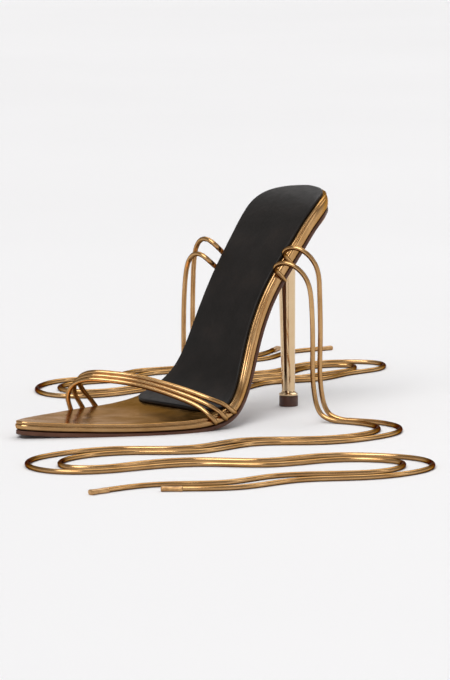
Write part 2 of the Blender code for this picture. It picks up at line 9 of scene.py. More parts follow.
import bmesh
import bpy
import numpy as np
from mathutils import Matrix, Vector


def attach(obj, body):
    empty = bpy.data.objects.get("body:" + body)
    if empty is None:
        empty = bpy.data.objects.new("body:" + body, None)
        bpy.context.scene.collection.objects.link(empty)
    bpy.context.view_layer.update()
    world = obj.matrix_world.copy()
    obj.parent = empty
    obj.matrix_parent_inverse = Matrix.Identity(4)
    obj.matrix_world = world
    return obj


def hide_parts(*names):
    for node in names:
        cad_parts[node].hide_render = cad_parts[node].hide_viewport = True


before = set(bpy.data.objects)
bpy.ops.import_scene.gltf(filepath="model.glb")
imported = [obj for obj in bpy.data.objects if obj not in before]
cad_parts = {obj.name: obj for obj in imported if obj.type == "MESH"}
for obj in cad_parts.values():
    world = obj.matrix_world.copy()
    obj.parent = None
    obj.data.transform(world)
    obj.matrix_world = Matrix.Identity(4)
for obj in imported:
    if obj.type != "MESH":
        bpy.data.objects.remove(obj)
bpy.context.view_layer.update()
MM = 0.001


# Outsole
# The real piece is a thin sheet of brown sole leather, die cut to the outline of the
# last, skived along its edge and cemented under the board. It curves with the arch,
# lies flat on the floor under the ball of the foot and carries the heel at its end.

SOLE_LENGTH = 208.0 * MM
SEAT_RISE = 115.0 * MM
BALL_WIDTH = 77.0 * MM
HEEL_SETBACK = 20.0 * MM
TOE_ROUND = 3.0 * MM
TOE_LEAST = 0.45
SEAT_ROUND = 27.0 * MM
SEAT_LEAST = 0.02
BOARD_THICKNESS = 7.4 * MM
OUTSOLE_THICKNESS = 2.3 * MM
OUTSOLE_INSET = 0.5 * MM
OUTSOLE_ROUND = 0.7 * MM
OUTSOLE_TOP_ROUND = 0.2 * MM
GLUE_LINE = 0.3 * MM
END_POWER = 2.1
SLOPE_STEP = 0.2 * MM
SEARCH_HALVINGS = 40
SOLE_BROWN_LIGHT = (0.112, 0.045, 0.024)
SOLE_BROWN = (0.092, 0.036, 0.019)
SOLE_BROWN_DARK = (0.074, 0.028, 0.015)

# Rows of points along the toe's end, the sides and the seat's end, and across a sheet.
STATION_ROWS = (10, 150, 30)
ROWS_ACROSS = 14
CROWN_POWER = 4

# Where a texture's spread starts and ends: its values lie close to one half.
COLOUR_SPREAD = (0.28, 0.72)
GLOSS_SPREAD = (0.3, 0.7)

# From the heel's foot, where the pattern starts, to the middle of the shoe.
FRAME_SHIFT = Vector((83.962 * MM, 0.145 * MM, 0.0))

# Toe to heel: share of the length from the toe tip, share of the seat's rise, inner and
# outer edge as shares of the ball's width, share of the board's thickness.
SECTIONS = (
    (0.000, 0.0430, 0.200, -0.115, 0.65),
    (0.050, 0.0330, 0.305, -0.030, 0.65),
    (0.125, 0.0245, 0.400, 0.105, 0.65),
    (0.230, 0.0170, 0.487, 0.285, 0.65),
    (0.340, 0.0160, 0.514, 0.436, 0.67),
    (0.440, 0.0220, 0.478, 0.509, 0.74),
    (0.530, 0.0625, 0.395, 0.507, 0.87),
    (0.605, 0.1700, 0.316, 0.430, 0.96),
    (0.665, 0.3790, 0.262, 0.370, 1.00),
    (0.730, 0.6130, 0.246, 0.372, 1.00),
    (0.820, 0.8090, 0.286, 0.380, 1.00),
    (0.925, 0.9635, 0.338, 0.345, 1.00),
    (1.000, 1.0000, 0.340, 0.335, 1.00),
)


def flexible_curve(knots, values):
    """Smooth curve through values at knots, as a draughtsman's spline lies."""
    knots = np.asarray(knots, float)
    values = np.asarray(values, float)
    step = np.diff(knots)
    count = len(knots)
    matrix = np.eye(count)
    right = np.zeros(values.shape)
    for i in range(1, count - 1):
        matrix[i, i - 1] = step[i - 1]
        matrix[i, i] = 2.0 * (step[i - 1] + step[i])
        matrix[i, i + 1] = step[i]
        rise_after = (values[i + 1] - values[i]) / step[i]
        rise_before = (values[i] - values[i - 1]) / step[i - 1]
        right[i] = 6.0 * (rise_after - rise_before)
    bend = np.linalg.solve(matrix, right)

    def at(place):
        i = int(np.clip(np.searchsorted(knots, place) - 1, 0, count - 2))
        a = knots[i + 1] - place
        b = place - knots[i]
        h = step[i]
        curve = (bend[i] * a ** 3 + bend[i + 1] * b ** 3) / (6.0 * h)
        line_a = (values[i] / h - bend[i] * h / 6.0) * a
        line_b = (values[i + 1] / h - bend[i + 1] * h / 6.0) * b
        return curve + line_a + line_b

    return at


def distance_along(points):
    """Distance along a line of points, from its start."""
    steps = np.linalg.norm(np.diff(np.asarray(points), axis=0), axis=1)
    return np.concatenate(([0.0], np.cumsum(steps)))


def last_sections():
    """The section table in metres: x, z, inner edge, outer edge, board thickness."""
    sizes = (SOLE_LENGTH, SEAT_RISE, BALL_WIDTH, BALL_WIDTH, BOARD_THICKNESS)
    rows = np.array(SECTIONS) * sizes
    rows[:, 0] += HEEL_SETBACK - SOLE_LENGTH
    rows[:, 3] *= -1.0
    return rows


SECTION_ROWS = last_sections()
RUN_KNOTS = distance_along(SECTION_ROWS[:, :2])
RUN_END = RUN_KNOTS[-1]
section_at = flexible_curve(RUN_KNOTS, SECTION_ROWS)


def board_at(run):
    """Thickness of the board at a run along the sole."""
    return section_at(run)[4]


def x_at_share(share):
    """x at a share of the sole's length from the toe tip."""
    return HEEL_SETBACK - SOLE_LENGTH * (1.0 - share)


def last_place(holds, high):
    """Farthest place between zero and a bound at which a condition still holds."""
    low = 0.0
    for _ in range(SEARCH_HALVINGS):
        middle = 0.5 * (low + high)
        if holds(middle):
            low = middle
        else:
            high = middle
    return 0.5 * (low + high)


def run_at_x(x):
    """Run along the sole at which the board's underside is at x."""
    return last_place(lambda run: section_at(run)[0] < x, RUN_END)


def on_sole(run, across, lift):
    """Point at a run along the sole, a way across and a lift over the board's underside."""
    here = section_at(run)
    ahead = section_at(run + SLOPE_STEP)
    behind = section_at(run - SLOPE_STEP)
    dx = ahead[0] - behind[0]
    dz = ahead[1] - behind[1]
    size = math.hypot(dx, dz)
    return Vector((here[0] - dz / size * lift, across, here[1] + dx / size * lift))


def blunt_end(distance, length, least):
    """Share of the full width at a distance from a rounded end."""
    if distance >= length:
        return 1.0
    rest = 1.0 - max(distance, 0.0) / length
    return least + (1.0 - least) * (1.0 - rest ** END_POWER) ** (1.0 / END_POWER)


def edges_at(run, front_run=0.0, front_round=TOE_ROUND, front_least=TOE_LEAST):
    """Outer and inner edge of the plan at a run, with both ends rounded."""
    row = section_at(min(max(run, 0.0), RUN_END))
    middle = 0.5 * (row[2] + row[3])
    half = 0.5 * (row[2] - row[3])
    half *= blunt_end(run - front_run, front_round, front_least)
    half *= blunt_end(RUN_END - run, SEAT_ROUND, SEAT_LEAST)
    return middle - half, middle + half


def plan_outline(front_run=0.0, front_round=TOE_ROUND, front_least=TOE_LEAST):
    """Plan as (run, across) points: outer side to the back, inner side to the front."""
    front_rows, side_rows, seat_rows = STATION_ROWS
    turn_front = np.linspace(0.0, 0.5 * np.pi, front_rows + 1)
    turn_back = np.linspace(0.5 * np.pi, 0.0, seat_rows + 1)
    front = front_run + front_round * (1.0 - np.cos(turn_front))
    back = RUN_END - SEAT_ROUND * (1.0 - np.cos(turn_back))
    middle = np.linspace(front[-1], back[0], side_rows + 1)
    outer = []
    inner = []
    for run in np.concatenate((front, middle[1:-1], back)):
        low, high = edges_at(run, front_run, front_round, front_least)
        outer.append((run, low))
        inner.append((run, high))
    return np.array(outer + inner[::-1])


def cut_inside(outline, distance):
    """The outline moved inward by a distance."""
    before = outline - np.roll(outline, 1, axis=0)
    after = np.roll(outline, -1, axis=0) - outline
    before /= np.linalg.norm(before, axis=1)[:, None]
    after /= np.linalg.norm(after, axis=1)[:, None]
    normal_before = np.column_stack((-before[:, 1], before[:, 0]))
    normal_after = np.column_stack((-after[:, 1], after[:, 0]))
    turn = 1.0 + np.sum(normal_before * normal_after, axis=1)
    return outline + distance * (normal_before + normal_after) / turn[:, None]


def shoe_piece(name, points, faces, material, crisp=40.0):
    """A piece with outward faces, smooth but for its real edges."""
    mesh = bpy.data.meshes.new(name)
    mesh.from_pydata([tuple(point) for point in points], [], faces)
    work = bmesh.new()
    work.from_mesh(mesh)
    bmesh.ops.recalc_face_normals(work, faces=work.faces)
    work.to_mesh(mesh)
    work.free()
    mesh.shade_smooth()
    mesh.set_sharp_from_angle(angle=math.radians(crisp))
    mesh.materials.append(material)
    piece = bpy.data.objects.new(name, mesh)
    bpy.context.scene.collection.objects.link(piece)
    return piece


def round_over(inset, radius, side, steps=5):
    """Levels of a rounded edge, at the underside with side 0 or at the top with side 1."""
    rows = []
    for n in range(steps + 1):
        angle = 0.5 * math.pi * n / steps
        rise = radius * (1.0 - math.cos(angle))
        rows.append((inset + radius * (1.0 - math.sin(angle)), side, rise * (1.0 - 2.0 * side)))
    return rows if side == 0 else rows[::-1]


def faces_between(rings, sides):
    """Faces of a skin whose rings of points follow one another."""
    faces = []
    for ring in range(rings - 1):
        base = ring * sides
        for i in range(sides):
            j = (i + 1) % sides
            faces.append((base + i, base + j, base + sides + j, base + sides + i))
    return faces


def sole_sheet(name, outline, levels, under, over, material, crown=0.0, floor=None):
    """One layer of the sole between two lifts. Its edge follows the levels, bottom to top."""
    count = len(outline)
    points = []
    for inset, side, rise in levels:
        for run, across in cut_inside(outline, inset):
            lift = under(run) * (1.0 - side) + over(run) * side + rise
            points.append(on_sole(run, across, lift))
    faces = faces_between(len(levels), count)
    for level, lift_at, swell in ((0, under, 0.0), (len(levels) - 1, over, crown)):
        ring = cut_inside(outline, levels[level][0])
        lines = []
        for i in range(count // 2):
            far = count - 1 - i
            line = [level * count + i]
            for k in range(1, ROWS_ACROSS):
                share = k / ROWS_ACROSS
                run, across = ring[i] + (ring[far] - ring[i]) * share
                puff = swell * (1.0 - (2.0 * share - 1.0) ** CROWN_POWER)
                line.append(len(points))
                points.append(on_sole(run, across, lift_at(run) + puff))
            lines.append(line + [level * count + far])
        for one, other in zip(lines, lines[1:]):
            for k in range(ROWS_ACROSS):
                faces.append((one[k], one[k + 1], other[k + 1], other[k]))
    if floor is not None:
        for point in points:
            point.z = max(point.z, floor)
    return shoe_piece(name, [point + FRAME_SHIFT for point in points], faces, material)


def finish_nodes(name, colour, roughness, metallic):
    """A finish: its material, node tree, shader and the place on the piece."""
    material = bpy.data.materials.new(name)
    material.use_nodes = True
    tree = material.node_tree
    shader = tree.nodes["Principled BSDF"]
    shader.inputs["Base Color"].default_value = (*colour, 1.0)
    shader.inputs["Roughness"].default_value = roughness
    shader.inputs["Metallic"].default_value = metallic
    place = tree.nodes.new("ShaderNodeTexCoord")
    return material, tree, shader, place


def speckle(tree, place, size, detail=3.0, stretch=(1.0, 1.0, 1.0)):
    """Noise with features of a real size."""
    turn = tree.nodes.new("ShaderNodeMapping")
    turn.inputs["Scale"].default_value = stretch
    tree.links.new(place.outputs["Object"], turn.inputs["Vector"])
    noise = tree.nodes.new("ShaderNodeTexNoise")
    noise.inputs["Scale"].default_value = 1.0 / size
    noise.inputs["Detail"].default_value = detail
    tree.links.new(turn.outputs["Vector"], noise.inputs["Vector"])
    return noise.outputs["Fac"]


def shade_by(tree, source, shader, dark, middle, light):
    """Colour of the shader from dark to light over a texture."""
    ramp = tree.nodes.new("ShaderNodeValToRGB")
    low, high = ramp.color_ramp.elements
    low.position, low.color = COLOUR_SPREAD[0], (*dark, 1.0)
    high.position, high.color = COLOUR_SPREAD[1], (*light, 1.0)
    centre = ramp.color_ramp.elements.new(0.5)
    centre.color = (*middle, 1.0)
    tree.links.new(source, ramp.inputs["Fac"])
    tree.links.new(ramp.outputs["Color"], shader.inputs["Base Color"])


def gloss_by(tree, source, shader, low, high):
    """Roughness of the shader over a texture."""
    spread = tree.nodes.new("ShaderNodeMapRange")
    spread.inputs["From Min"].default_value = GLOSS_SPREAD[0]
    spread.inputs["From Max"].default_value = GLOSS_SPREAD[1]
    spread.inputs["To Min"].default_value = low
    spread.inputs["To Max"].default_value = high
    tree.links.new(source, spread.inputs["Value"])
    tree.links.new(spread.outputs["Result"], shader.inputs["Roughness"])


def relief(tree, shader, layers):
    """Bumps laid over each other: each is a height source and its depth in metres."""
    under = None
    for source, depth in layers:
        bump = tree.nodes.new("ShaderNodeBump")
        bump.inputs["Distance"].default_value = depth
        tree.links.new(source, bump.inputs["Height"])
        if under is not None:
            tree.links.new(under.outputs["Normal"], bump.inputs["Normal"])
        under = bump
    tree.links.new(under.outputs["Normal"], shader.inputs["Normal"])


def sole_leather():
    """Brown sole leather: fine pores and small rubs along the tread."""
    material, tree, shader, place = finish_nodes("outsole_leather", SOLE_BROWN, 0.42, 0.0)
    patch = speckle(tree, place, size=9.0 * MM, detail=4.0)
    pores = speckle(tree, place, size=0.45 * MM, detail=5.0)
    rubs = speckle(tree, place, size=2.0 * MM, detail=6.0, stretch=(0.15, 1.0, 1.0))
    shade_by(tree, patch, shader, SOLE_BROWN_DARK, SOLE_BROWN, SOLE_BROWN_LIGHT)
    gloss_by(tree, rubs, shader, low=0.30, high=0.55)
    shader.inputs["Specular IOR Level"].default_value = 0.3
    relief(tree, shader, ((pores, 0.05 * MM), (rubs, 0.03 * MM)))
    return material


outsole_edge = round_over(OUTSOLE_INSET, OUTSOLE_ROUND, side=0)
outsole_edge += round_over(OUTSOLE_INSET, OUTSOLE_TOP_ROUND, side=1, steps=2)
outsole = sole_sheet(
    "outsole_sheet", plan_outline(), outsole_edge,
    lambda run: -GLUE_LINE - OUTSOLE_THICKNESS, lambda run: -GLUE_LINE,
    sole_leather(), floor=0.0,
)
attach(outsole, "root")
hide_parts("outsole")


# Insole board
# The real piece is a moulded fibre board with a steel shank, wrapped in mirror gold
# leather that is lasted over its edge and glued under it. A gold cover sheet lies on
# top, and its turned edge shows as a thin bead above a crease all round the side.

WRAP_UNDER_ROUND = 1.7 * MM
WRAP_FULLNESS = 0.25 * MM
COVER_BEAD = 0.65 * MM
COVER_CREASE = 0.42 * MM
COVER_DROP = 1.9 * MM
COVER_SET_BACK = 0.05 * MM
COVER_SHEET_DROP = 0.03 * MM
COVER_FLAT = 1.0 * MM
PINHOLE_ALONG = 0.549
PINHOLE_RISE = 0.45
PINHOLE_DIAMETER = 1.0 * MM
PINHOLE_CORE = 0.6
GOLD_LIGHT = (0.62, 0.385, 0.180)
GOLD_MIDDLE = (0.54, 0.318, 0.138)
GOLD_DARK = (0.45, 0.250, 0.098)
# Painted shade: darker gold laid on faces that turn down and in the pinhole, and where it starts
# and is full.
GOLD_PAINTED_SHADE = (0.13, 0.060, 0.020)
GOLD_AT_GRAZING = (0.70, 0.50, 0.30)
SHADE_BELOW_START = -0.05
SHADE_BELOW_FULL = -0.70
SHADE_BELOW_MOST = 0.8

# Rows of points up the side: shares of the way up the wrap, then the crease with its
# share of the full depth and its drop in millimetres, then turns round the bead.
WRAP_ROWS = (0.2, 0.4, 0.6, 0.8, 1.0)
CREASE_ROWS = ((0.35, 1.76), (0.80, 1.64), (1.00, 1.52), (0.95, 1.40))
BEAD_DEGREES = range(-60, 91, 15)


def darken(tree, shader, source, start, full, tone, most):
    """Darker tone over the base colour, from none at the source's start to most at full."""
    under = shader.inputs["Base Color"].links[0].from_socket
    amount = tree.nodes.new("ShaderNodeMapRange")
    amount.inputs["From Min"].default_value = start
    amount.inputs["From Max"].default_value = full
    amount.inputs["To Max"].default_value = most
    blend = tree.nodes.new("ShaderNodeMix")
    blend.data_type = "RGBA"
    blend.inputs["B"].default_value = (*tone, 1.0)
    tree.links.new(source, amount.inputs["Value"])
    tree.links.new(amount.outputs["Result"], blend.inputs["Factor"])
    tree.links.new(under, blend.inputs["A"])
    tree.links.new(blend.outputs["Result"], shader.inputs["Base Color"])


def paint_shade_below(tree, shader, tone, most):
    """Painted shade on surfaces that face down, for the shadowed floor that they reflect."""
    surface = tree.nodes.new("ShaderNodeNewGeometry")
    split = tree.nodes.new("ShaderNodeSeparateXYZ")
    tree.links.new(surface.outputs["Normal"], split.inputs["Vector"])
    darken(tree, shader, split.outputs["Z"], SHADE_BELOW_START, SHADE_BELOW_FULL, tone, most)


def gold_leather(name, dent_size, dent_depth):
    """Leather under gold foil: bright, finely printed, shallow dents, painted shade below."""
    material, tree, shader, place = finish_nodes(name, GOLD_MIDDLE, 0.25, 1.0)
    patch = speckle(tree, place, size=14.0 * MM, detail=2.0)
    print_of_skin = speckle(tree, place, size=0.5 * MM, detail=2.0)
    dents = speckle(tree, place, size=dent_size, detail=0.0)
    rubs = speckle(tree, place, size=6.0 * MM, detail=3.0)
    shade_by(tree, patch, shader, GOLD_DARK, GOLD_MIDDLE, GOLD_LIGHT)
    # Painted shade on the faces that turn down, standing for the dark floor they would reflect.
    paint_shade_below(tree, shader, GOLD_PAINTED_SHADE, SHADE_BELOW_MOST)
    gloss_by(tree, rubs, shader, low=0.15, high=0.25)
    shader.inputs["Specular Tint"].default_value = (*GOLD_AT_GRAZING, 1.0)
    relief(tree, shader, ((dents, dent_depth), (print_of_skin, 0.003 * MM)))
    return material


def add_pinhole(material, centre):
    """A lasting pin's prick in the foil: a real hole, drawn flat as a spot of painted shade."""
    tree = material.node_tree
    shader = tree.nodes["Principled BSDF"]
    place = tree.nodes.new("ShaderNodeTexCoord")
    away = tree.nodes.new("ShaderNodeVectorMath")
    away.operation = "DISTANCE"
    away.inputs[1].default_value = centre
    tree.links.new(place.outputs["Object"], away.inputs[0])
    edge = PINHOLE_DIAMETER / 2.0
    core = PINHOLE_CORE * edge
    # Painted shade fills the pinhole, darkest at its core.
    darken(tree, shader, away.outputs["Value"], edge, core, GOLD_PAINTED_SHADE, most=1.0)


wrap_edge = round_over(0.0, WRAP_UNDER_ROUND, side=0, steps=8)
for share in WRAP_ROWS:
    between = WRAP_UNDER_ROUND * (1.0 - share) - COVER_DROP * share
    wrap_edge.append((-WRAP_FULLNESS * math.sin(math.pi * share), share, between))
for depth, drop in CREASE_ROWS:
    wrap_edge.append((COVER_CREASE * depth, 1, -drop * MM))
for degrees in BEAD_DEGREES:
    turn = math.radians(degrees)
    inset = COVER_SET_BACK + COVER_BEAD * (1.0 - math.cos(turn))
    drop = COVER_SHEET_DROP + COVER_BEAD * (1.0 - math.sin(turn))
    wrap_edge.append((inset, 1, -drop))
wrap_edge.append((COVER_FLAT, 1, 0.0))
wrap_leather = gold_leather("wrap_gold", dent_size=16.0 * MM, dent_depth=0.5 * MM)
pin_run = run_at_x(x_at_share(PINHOLE_ALONG))
pin_side = edges_at(pin_run)[0] - WRAP_FULLNESS
pinhole = on_sole(pin_run, pin_side, PINHOLE_RISE * board_at(pin_run))
add_pinhole(wrap_leather, pinhole + FRAME_SHIFT)
insole = sole_sheet(
    "insole_wrap", plan_outline(), wrap_edge, lambda run: 0.0, board_at, wrap_leather
)
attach(insole, "root")
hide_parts("insole_board")


# Heel sock
# The real piece is a soft black lining sheet over thin foam, die cut a little smaller
# than the board and glued on top of it from the back of the seat to behind the toe
# strap. Its edge is turned down and shows as a thin black line beside the gold.

SOCK_THICKNESS = 1.3 * MM
SOCK_MARGIN = 1.9 * MM
SOCK_FRONT = 0.46
SOCK_FRONT_ROUND = 15.0 * MM
SOCK_FRONT_LEAST = 0.5
SOCK_EDGE_ROUND = 0.6 * MM
SOCK_CROWN = 0.3 * MM
LINING_LIGHT = (0.016, 0.012, 0.010)
LINING_BLACK = (0.010, 0.008, 0.007)
LINING_DARK = (0.006, 0.005, 0.004)


def black_lining():
    """Smooth black lining leather with fine pores and a dull sheen."""
    material, tree, shader, place = finish_nodes("sock_lining", LINING_BLACK, 0.5, 0.0)
    shader.inputs["Specular IOR Level"].default_value = 0.25
    patch = speckle(tree, place, size=18.0 * MM, detail=3.0)
    pores = speckle(tree, place, size=0.6 * MM, detail=4.0)
    rubs = speckle(tree, place, size=5.0 * MM, detail=6.0)
    shade_by(tree, patch, shader, LINING_DARK, LINING_BLACK, LINING_LIGHT)
    gloss_by(tree, rubs, shader, low=0.36, high=0.52)
    relief(tree, shader, ((patch, 0.5 * MM), (pores, 0.05 * MM)))
    return material


sock_front = run_at_x(x_at_share(SOCK_FRONT))
sock_outline = plan_outline(sock_front, SOCK_FRONT_ROUND, SOCK_FRONT_LEAST)
sock_edge = [(SOCK_MARGIN, 0, 0.0)] + round_over(SOCK_MARGIN, SOCK_EDGE_ROUND, side=1)
sock = sole_sheet(
    "sock_lining_sheet", sock_outline, sock_edge,
    lambda run: board_at(run) + GLUE_LINE,
    lambda run: board_at(run) + GLUE_LINE + SOCK_THICKNESS,
    black_lining(), crown=SOCK_CROWN,
)
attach(sock, "root")
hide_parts("heel_sock")


# Heel
# The real piece is one casting in gold plate, mirror polished: a shallow cup that fits
# the underside of the seat and runs with a small fillet into a slim tapered stem, which
# ends in a flared collar. It is nailed to the seat from above before the sock goes on.

CUP_FRONT = 0.8165
CUP_BACK = 0.990
CUP_DEPTH = 18.0 * MM
CUP_INSET = 1.6 * MM
CUP_RIM = 0.8 * MM
CUP_HOLLOW = 1.2
CUP_FILLET = 3.2 * MM
CUP_FRONT_ROUND = 11.0 * MM
CUP_BACK_ROUND = 6.0 * MM
STEM_TOP_DIAMETER = 9.8 * MM
STEM_TIP_DIAMETER = 7.3 * MM
STEM_LEAN = 1.8 * MM
COLLAR_HEIGHT = 1.0 * MM
COLLAR_EDGE = 0.2 * MM
COLLAR_EDGE_RISE = 0.06 * MM
COLLAR_FLARE = 2.0 * MM
FLARE_POWER = 2.6
FLARE_STEPS = 14
STEM_STEPS = 24
TOP_LIFT_DIAMETER = 10.6 * MM
TOP_LIFT_HEIGHT = 5.8 * MM
HEEL_SIDES = 120
CUP_RINGS = 44
RING_SPACING_POWER = 1.5
SEAT_LINE_POINTS = 160
PAST_SEAT = 5.0 * MM
CUP_REACH_MOST = 60.0 * MM
CUP_LEAST_HALF = 0.1 * MM
PLATE_LIGHT = (0.74, 0.56, 0.35)
PLATE_GOLD = (0.69, 0.50, 0.30)
PLATE_DARK = (0.64, 0.45, 0.26)

# Share of the cup's length from front to back, share of its depth, share of the seat.
CUP_SECTIONS = (
    (0.00, 0.12, 0.60),
    (0.12, 0.48, 0.80),
    (0.31, 0.76, 0.94),
    (0.45, 0.91, 0.98),
    (0.59, 1.00, 1.00),
    (0.70, 0.96, 1.00),
    (0.80, 0.80, 0.97),
    (0.88, 0.59, 0.93),
    (0.94, 0.38, 0.86),
    (1.00, 0.08, 0.72),
)

cup_front_x = x_at_share(CUP_FRONT)
cup_back_x = x_at_share(CUP_BACK)
cup_rows = np.array(CUP_SECTIONS) * (cup_back_x - cup_front_x, CUP_DEPTH, 1.0)
cup_rows[:, 0] += cup_front_x
cup_at = flexible_curve(cup_rows[:, 0], cup_rows)


def under_sole(x):
    """Height of the glue line under the outsole over x, and the run it belongs to."""
    depth = -GLUE_LINE - OUTSOLE_THICKNESS
    run = last_place(lambda place: on_sole(place, 0.0, depth).x < x, RUN_END + PAST_SEAT)
    return on_sole(run, 0.0, depth).z - GLUE_LINE, run


seat_line_x = np.linspace(cup_front_x, cup_back_x, SEAT_LINE_POINTS)
seat_line = np.array([under_sole(x) for x in seat_line_x])


def cup_width(x):
    """Middle and half width of the cup's rim at x."""
    low, high = edges_at(np.interp(x, seat_line_x, seat_line[:, 1]))
    half = (0.5 * (high - low) - CUP_INSET) * cup_at(x)[2]
    half *= blunt_end(x - cup_front_x, CUP_FRONT_ROUND, least=0.0)
    half *= blunt_end(cup_back_x - x, CUP_BACK_ROUND, least=0.0)
    return 0.5 * (low + high), half


def cup_underside(x, y):
    """Height of the cup's outside at a point of its plan."""
    middle, half = cup_width(x)
    side = min(abs(y - middle) / max(half, CUP_LEAST_HALF), 1.0)
    depth = 0.5 + 0.5 * math.cos(math.pi * side ** CUP_HOLLOW)
    drop = CUP_RIM + (cup_at(x)[1] - CUP_RIM) * depth
    return np.interp(x, seat_line_x, seat_line[:, 0]) - drop


def cup_reach(angle):
    """Distance from the stem's axis to the cup's rim in a direction."""
    def under_seat(reach):
        x = -STEM_LEAN + reach * math.cos(angle)
        if not cup_front_x < x < cup_back_x:
            return False
        middle, half = cup_width(x)
        return abs(reach * math.sin(angle) - middle) < half

    return last_place(under_seat, CUP_REACH_MOST)


def heel_profile(join):
    """Stem from the top lift up to the cup, as (height, radius) rows."""
    foot = TOP_LIFT_HEIGHT + GLUE_LINE
    tip = STEM_TIP_DIAMETER / 2.0
    top = STEM_TOP_DIAMETER / 2.0
    collar = TOP_LIFT_DIAMETER / 2.0
    rows = [(foot, 0.0), (foot, 0.5 * collar), (foot, collar - COLLAR_EDGE)]
    rows.append((foot + COLLAR_EDGE_RISE, collar - COLLAR_EDGE_RISE))
    rows.append((foot + COLLAR_EDGE, collar))
    rows.append((foot + COLLAR_HEIGHT - COLLAR_EDGE, collar))
    for n in range(FLARE_STEPS + 1):
        share = n / FLARE_STEPS
        radius = tip + (collar - tip) * (1.0 - share) ** FLARE_POWER
        rows.append((foot + COLLAR_HEIGHT + COLLAR_FLARE * share, radius))
    start = rows[-1][0]
    for n in range(1, STEM_STEPS + 1):
        height = start + (join - start) * n / STEM_STEPS
        rows.append((height, tip + (top - tip) * (height - foot) / (join - foot)))
    return rows


def make_heel(material):
    """Collar, stem, fillet and cup as one smooth skin, closed on top under the seat."""
    angles = [2.0 * math.pi * i / HEEL_SIDES for i in range(HEEL_SIDES)]
    top = STEM_TOP_DIAMETER / 2.0
    join = cup_underside(-STEM_LEAN, 0.0) - CUP_FILLET
    points = []
    for height, radius in heel_profile(join):
        for angle in angles:
            lean = -STEM_LEAN * height / join
            points.append((lean + radius * math.cos(angle), radius * math.sin(angle), height))
    reaches = [cup_reach(angle) for angle in angles]
    for ring in range(1, CUP_RINGS + 1):
        share = (ring / CUP_RINGS) ** RING_SPACING_POWER
        for angle, reach in zip(angles, reaches):
            radius = top + (reach - top) * share
            x = -STEM_LEAN + radius * math.cos(angle)
            y = radius * math.sin(angle)
            height = cup_underside(x, y)
            near = (radius - top) / CUP_FILLET
            if near < 1.0:
                height -= CUP_FILLET * (1.0 - math.sqrt(1.0 - (1.0 - near) ** 2))
            points.append((x, y, height))
    for share in (1.0, 0.5, 0.0):
        for angle, reach in zip(angles, reaches):
            x = -STEM_LEAN + reach * share * math.cos(angle)
            y = reach * share * math.sin(angle)
            points.append((x, y, np.interp(x, seat_line_x, seat_line[:, 0])))
    faces = faces_between(len(points) // HEEL_SIDES, HEEL_SIDES)
    points = [Vector(point) + FRAME_SHIFT for point in points]
    return shoe_piece("heel_plated", points, faces, material, crisp=50.0)


def gold_plate():
    """Mirror polished gold plate, faintly hazed by handling."""
    material, tree, shader, place = finish_nodes("heel_plate", PLATE_GOLD, 0.08, 1.0)
    patch = speckle(tree, place, size=22.0 * MM, detail=3.0)
    haze = speckle(tree, place, size=6.0 * MM, detail=6.0, stretch=(1.0, 1.0, 0.3))
    ripple = speckle(tree, place, size=9.0 * MM, detail=1.0, stretch=(1.0, 1.0, 0.35))
    shade_by(tree, patch, shader, PLATE_DARK, PLATE_GOLD, PLATE_LIGHT)
    gloss_by(tree, haze, shader, low=0.05, high=0.13)
    relief(tree, shader, ((ripple, 0.08 * MM),))
    return material


heel = make_heel(gold_plate())
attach(heel, "root")
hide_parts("heel")


# Top lift
# The real piece is a small dark brown plug of hard polyurethane, moulded with a pin
# that is driven up the stem. Its wall is satin, with a fine groove under the collar,
# and the edge that meets the floor is a little rounded.

TOP_LIFT_ROUND = 0.3 * MM
ROUND_STEPS = 4
LIFT_SIDES = 96
LIFT_LIGHT = (0.105, 0.040, 0.022)
LIFT_BROWN = (0.075, 0.026, 0.014)
LIFT_DARK = (0.052, 0.017, 0.009)

# Height in millimetres and depth under the wall, up to the groove under the collar.
LIFT_WALL = ((1.60, 0.00), (2.90, 0.00), (4.20, 0.00), (5.35, 0.00), (5.50, 0.12), (5.80, 0.16))


def lift_rubber():
    """Dark brown polyurethane, satin, with a faint mould texture."""
    material, tree, shader, place = finish_nodes("top_lift_rubber", LIFT_BROWN, 0.38, 0.0)
    patch = speckle(tree, place, size=4.0 * MM, detail=4.0)
    mould = speckle(tree, place, size=0.5 * MM, detail=3.0, stretch=(1.0, 1.0, 3.0))
    shade_by(tree, patch, shader, LIFT_DARK, LIFT_BROWN, LIFT_LIGHT)
    gloss_by(tree, patch, shader, low=0.30, high=0.48)
    relief(tree, shader, ((mould, 0.04 * MM),))
    return material


def make_top_lift(material):
    """Round plug with a rounded foot and a fine groove under the collar."""
    radius = TOP_LIFT_DIAMETER / 2.0
    rows = [(0.0, 0.0), (0.0, 0.6 * radius)]
    for n in range(ROUND_STEPS + 1):
        turn = 0.5 * math.pi * n / ROUND_STEPS
        height = TOP_LIFT_ROUND * (1.0 - math.cos(turn))
        rows.append((height, radius - TOP_LIFT_ROUND * (1.0 - math.sin(turn))))
    rows += [(height * MM, radius - depth * MM) for height, depth in LIFT_WALL]
    rows += [(TOP_LIFT_HEIGHT, 0.5 * radius), (TOP_LIFT_HEIGHT, 0.0)]
    points = []
    for height, reach in rows:
        for i in range(LIFT_SIDES):
            angle = 2.0 * math.pi * i / LIFT_SIDES
            point = Vector((reach * math.cos(angle), reach * math.sin(angle), height))
            points.append(point + FRAME_SHIFT)
    faces = faces_between(len(rows), LIFT_SIDES)
    return shoe_piece("top_lift_plug", points, faces, material)


top_lift = make_top_lift(lift_rubber())
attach(top_lift, "root")
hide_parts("top_lift")


# Toe strap
# The real piece is three cords of gold leather, each rolled round a soft core with its
# seam turned under. They lie side by side over the toes and fan out at both edges of
# the sole, where their skived ends are lasted in between the board and the outsole.

